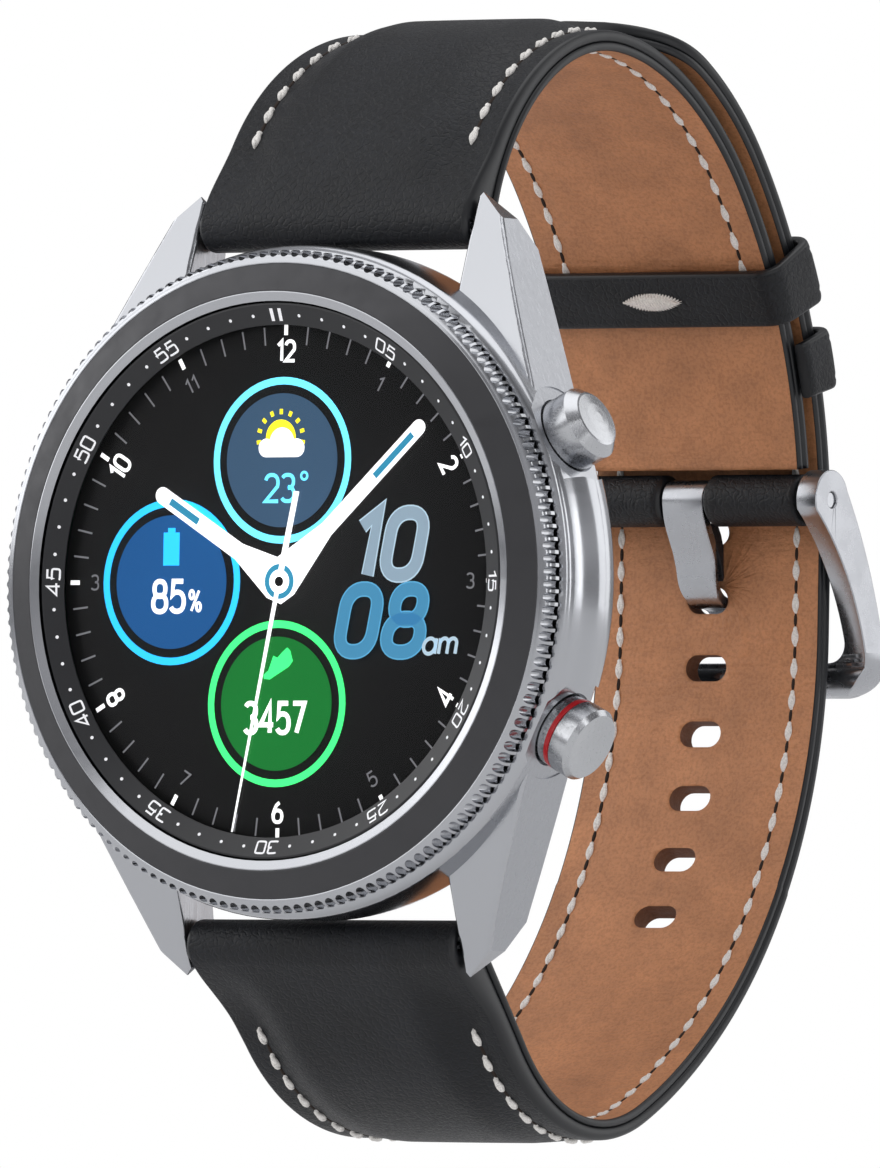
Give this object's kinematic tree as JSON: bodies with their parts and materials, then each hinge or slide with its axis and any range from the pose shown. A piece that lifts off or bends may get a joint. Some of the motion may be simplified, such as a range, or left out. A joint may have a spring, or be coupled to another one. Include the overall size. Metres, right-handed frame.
{
  "type": "smartwatch",
  "caption": "Round smartwatch with a turning coin-edge bezel, side pushers, an always-on dial and a buckled padded leather strap.",
  "frame": {"origin": "centre of the flat on the sensor glass, the face that rests on the wrist", "axes": "+X towards 3 o'clock and the pushers, +Z towards 12 o'clock, and the dial faces -Y"},
  "size_m": [0.0456, 0.0596, 0.0756],
  "materials": {
    "steel": "brushed and polished",
    "black_insert": "matte",
    "glass": "polished",
    "screen": "gloss",
    "minute_ring": "gloss",
    "back_plastic": "gloss",
    "red_ring": "gloss",
    "rubber": "matte",
    "spring_steel": "drawn",
    "leather_black": "grained",
    "leather_brown": "smooth",
    "padding": "felt",
    "board": "solder mask",
    "can": "plated",
    "copper": "enamelled",
    "cell": "foil",
    "inner_plastic": "moulded",
    "sensor": "gloss",
    "magnet": "nickel plated"
  },
  "bodies": {
    "case": {"case_middle": "steel", "display_glass": "glass", "display_panel": "screen", "display_gasket": "rubber", "minute_ring": "minute_ring", "case_back": "steel", "back_glass": "back_plastic", "back_gasket": "rubber", "back_screws": "steel", "sensor_board": "board", "optical_sensors": "sensor", "charging_coil": "copper", "battery": "cell", "inner_frame": "inner_plastic", "vibration_motor": "can", "speaker": "inner_plastic", "main_board": "board", "board_shields": "can", "bezel_snap_ring": "spring_steel", "click_balls": "spring_steel", "click_springs": "spring_steel", "upper_pusher_seal": "rubber", "lower_pusher_seal": "rubber", "upper_pusher_spring": "spring_steel", "lower_pusher_spring": "spring_steel", "upper_switch": "inner_plastic", "lower_switch": "inner_plastic"},
    "bezel": {"bezel_ring": "steel", "bezel_insert": "black_insert", "bezel_magnets": "magnet"},
    "upper_button": {"upper_pusher": "steel", "upper_pusher_clip": "spring_steel"},
    "lower_button": {"lower_pusher": "steel", "lower_pusher_band": "red_ring", "lower_pusher_clip": "spring_steel"},
    "strap": {"short_strap_leather": "leather_black", "short_strap_lining": "leather_brown", "short_strap_padding": "padding", "long_strap_leather": "leather_black", "long_strap_lining": "leather_brown", "long_strap_padding": "padding", "fixed_keeper": "leather_black", "buckle_bar": "steel", "top_bar_tube": "steel", "top_bar_fixed_pin": "steel", "top_bar_spring": "spring_steel", "bottom_bar_tube": "steel", "bottom_bar_fixed_pin": "steel", "bottom_bar_spring": "spring_steel"},
    "top_release_pin": {"top_bar_plunger": "steel"},
    "bottom_release_pin": {"bottom_bar_plunger": "steel"},
    "buckle": {"buckle_frame": "steel"},
    "prong": {"buckle_prong": "steel"},
    "keeper": {"free_keeper": "leather_black"}
  },
  "joints": [
    {"name": "bezel_turn", "type": "hinge", "parent": "case", "child": "bezel", "pos_m": [0, -0.011, 0], "axis": [0, 1, 0], "continuous": true},
    {"name": "upper_button_press", "type": "slide", "parent": "case", "child": "upper_button", "axis": [-0.8988, 0, -0.4384], "range_m": [0, 0.00045], "stiffness_N_per_m": 2500, "springref_m": -0.0004, "deforming": ["upper_pusher_spring"]},
    {"name": "lower_button_press", "type": "slide", "parent": "case", "child": "lower_button", "axis": [-0.8988, 0, 0.4384], "range_m": [0, 0.00045], "stiffness_N_per_m": 2500, "springref_m": -0.0004, "deforming": ["lower_pusher_spring"]},
    {"name": "strap_swing", "type": "hinge", "parent": "case", "child": "strap", "pos_m": [0, -0.004, 0.024], "axis": [1, 0, 0], "range_deg": [0, 35], "deforming": ["bottom_bar_fixed_pin", "bottom_bar_plunger"]},
    {"name": "top_release", "type": "slide", "parent": "strap", "child": "top_release_pin", "axis": [-1, 0, 0], "range_m": [0, 0.0012], "stiffness_N_per_m": 600, "springref_m": -0.001, "deforming": ["top_bar_spring"]},
    {"name": "bottom_release", "type": "slide", "parent": "strap", "child": "bottom_release_pin", "axis": [-1, 0, 0], "range_m": [0, 0.0012], "stiffness_N_per_m": 600, "springref_m": -0.001, "deforming": ["bottom_bar_spring"]},
    {"name": "buckle_swing", "type": "hinge", "parent": "strap", "child": "buckle", "pos_m": [0, 0.0384, 0.00732], "axis": [1, 0, 0], "range_deg": [0, 3]},
    {"name": "prong_swing", "type": "hinge", "parent": "strap", "child": "prong", "pos_m": [0, 0.0384, 0.00732], "axis": [1, 0, 0], "range_deg": [0, 3]},
    {"name": "keeper_slide", "type": "hinge", "parent": "strap", "child": "keeper", "pos_m": [0, 0, 0.0045], "axis": [1, 0, 0], "range_deg": [-2.5, 9]}
  ],
  "couplings": [
    {"joint": "prong_swing", "follows": "buckle_swing", "ratio": 1}
  ]
}
